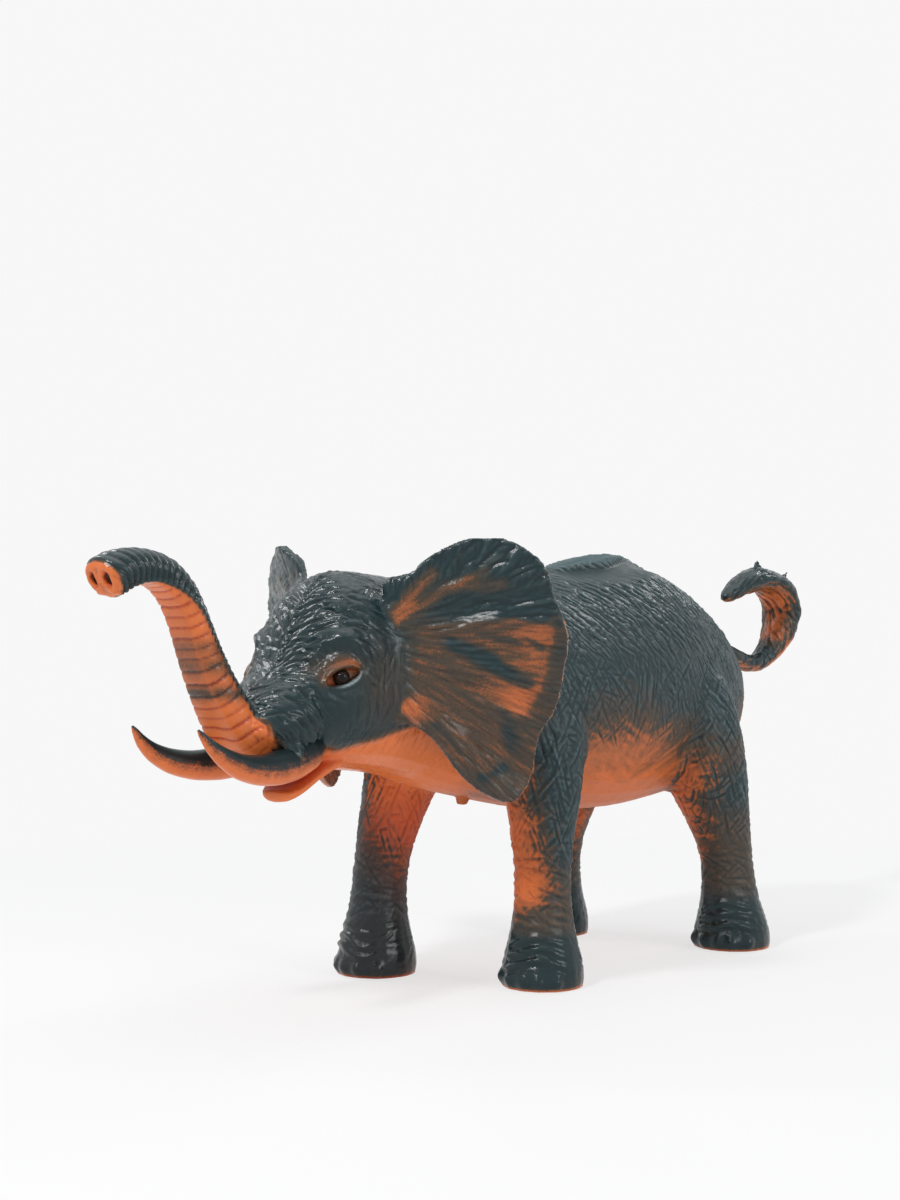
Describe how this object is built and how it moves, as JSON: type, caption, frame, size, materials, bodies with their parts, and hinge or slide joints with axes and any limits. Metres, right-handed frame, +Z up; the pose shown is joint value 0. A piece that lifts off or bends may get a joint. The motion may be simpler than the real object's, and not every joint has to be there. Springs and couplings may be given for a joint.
{
  "type": "toy elephant figure",
  "caption": "Moulded rubber elephant figure that stands on its feet with a raised ringed trunk, spread ears, curved tusks and a curled tail.",
  "frame": {"origin": "on the ground under the middle of the figure's outline", "axes": "+Z up, -Y the way the elephant faces, +Y towards its tail, +X its left side"},
  "size_m": [0.1274, 0.352, 0.1423],
  "materials": {
    "sprayed_rubber": "satin",
    "thinly_sprayed_rubber": "satin",
    "bare_rubber": "satin",
    "tusk_rubber": "satin",
    "eye_lacquer": "gloss",
    "fibre_wad": "matte"
  },
  "bodies": {
    "root": {"torso": "sprayed_rubber", "stuffing": "fibre_wad", "filler_plug": "bare_rubber", "head": "sprayed_rubber", "trunk": "bare_rubber", "lower_jaw": "bare_rubber", "ear_left": "sprayed_rubber", "ear_right": "sprayed_rubber", "tusk_left": "tusk_rubber", "tusk_right": "tusk_rubber", "eye_left": "eye_lacquer", "eye_right": "eye_lacquer", "front_leg_left": "sprayed_rubber", "front_leg_right": "thinly_sprayed_rubber", "rear_leg_left": "sprayed_rubber", "rear_leg_right": "sprayed_rubber", "tail": "sprayed_rubber"}
  },
  "joints": []
}
